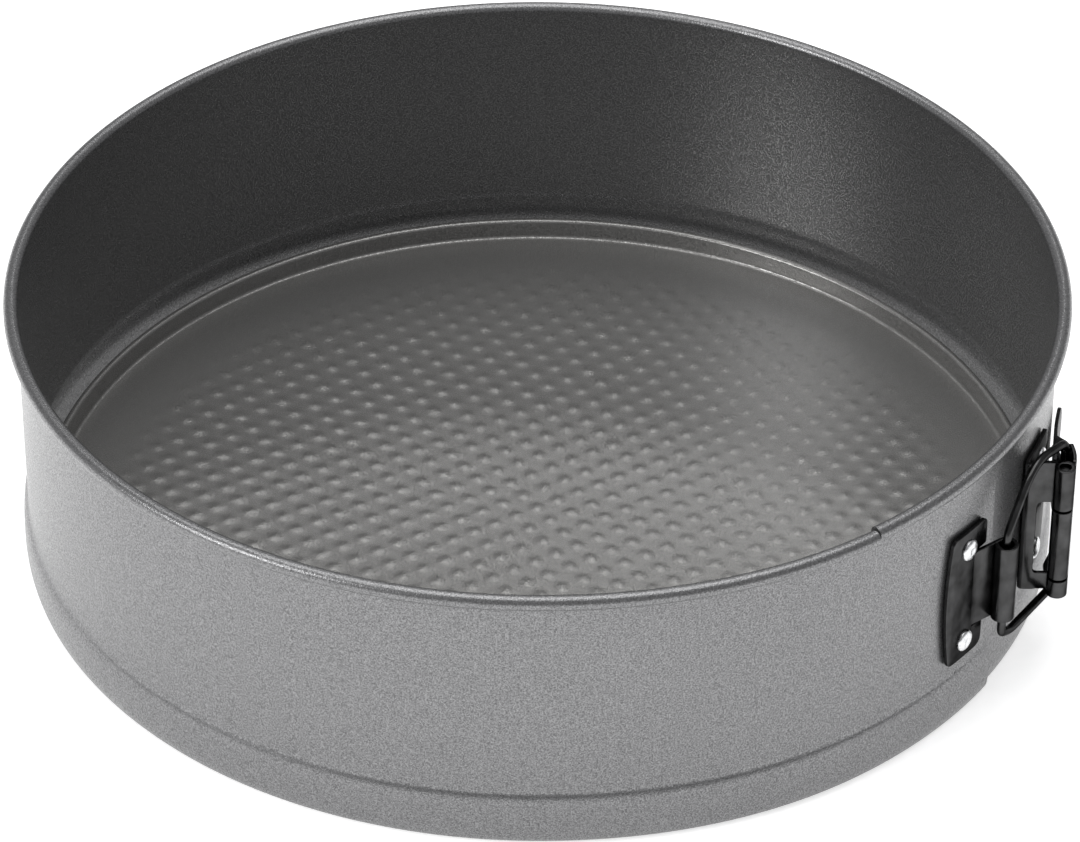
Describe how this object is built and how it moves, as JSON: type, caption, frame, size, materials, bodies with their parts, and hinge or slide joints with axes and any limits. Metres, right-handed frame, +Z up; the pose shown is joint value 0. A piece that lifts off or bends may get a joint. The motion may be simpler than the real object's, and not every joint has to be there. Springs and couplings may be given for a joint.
{
  "type": "springform pan",
  "caption": "Round springform cake pan: a thin upright ring with a rolled rim and an over-centre wire latch closes round a flat lift-out base.",
  "frame": {"origin": "centre of the pan in the plane its ring stands on, 1.5 mm below the flat underside of the base", "axes": "+Z up, out of the pan's mouth; +X outwards through the latch; +Y along the ring from the catch towards the lever's tip"},
  "size_m": [0.2434, 0.2354, 0.066],
  "materials": {
    "coated_steel": "grey non-stick coating, satin, with a fine metallic speckle",
    "black_steel": "gloss black",
    "zinc_rivet": "bright plated"
  },
  "bodies": {
    "base": {"base_disc": "coated_steel"},
    "ring_left": {"ring_outer_end": "coated_steel", "catch_bracket": "black_steel", "catch_rivet_upper": "zinc_rivet", "catch_rivet_lower": "zinc_rivet"},
    "ring_right": {"ring_inner_end": "coated_steel", "hinge_bracket": "black_steel", "hinge_rivet_upper": "zinc_rivet", "hinge_rivet_lower": "zinc_rivet", "hinge_pin": "black_steel"},
    "lever": {"latch_lever": "black_steel"},
    "bail": {"wire_bail": "black_steel"}
  },
  "joints": [
    {"name": "ring_lift", "type": "slide", "parent": "base", "child": "ring_left", "axis": [0, 0, 1], "range_m": [0, 0.08]},
    {"name": "ring_spread", "type": "hinge", "parent": "ring_left", "child": "ring_right", "pos_m": [-0.11465, 0.00581, 0.033], "axis": [0, 0, 1], "range_deg": [0, 0.8623]},
    {"name": "lever_swing", "type": "hinge", "parent": "ring_right", "child": "lever", "pos_m": [0.12342, 0.01297, 0.0338], "axis": [0, 0, -1], "range_deg": [0, 112]},
    {"name": "bail_swing", "type": "hinge", "parent": "ring_left", "child": "bail", "pos_m": [0.12049, -0.00864, 0.0338], "axis": [0, 0, -1], "range_deg": [0, 19.39]}
  ],
  "couplings": [
    {"joint": "ring_spread", "follows": "lever_swing", "ratio": 0.0076991},
    {"joint": "bail_swing", "follows": "lever_swing", "ratio": 0.17311}
  ]
}
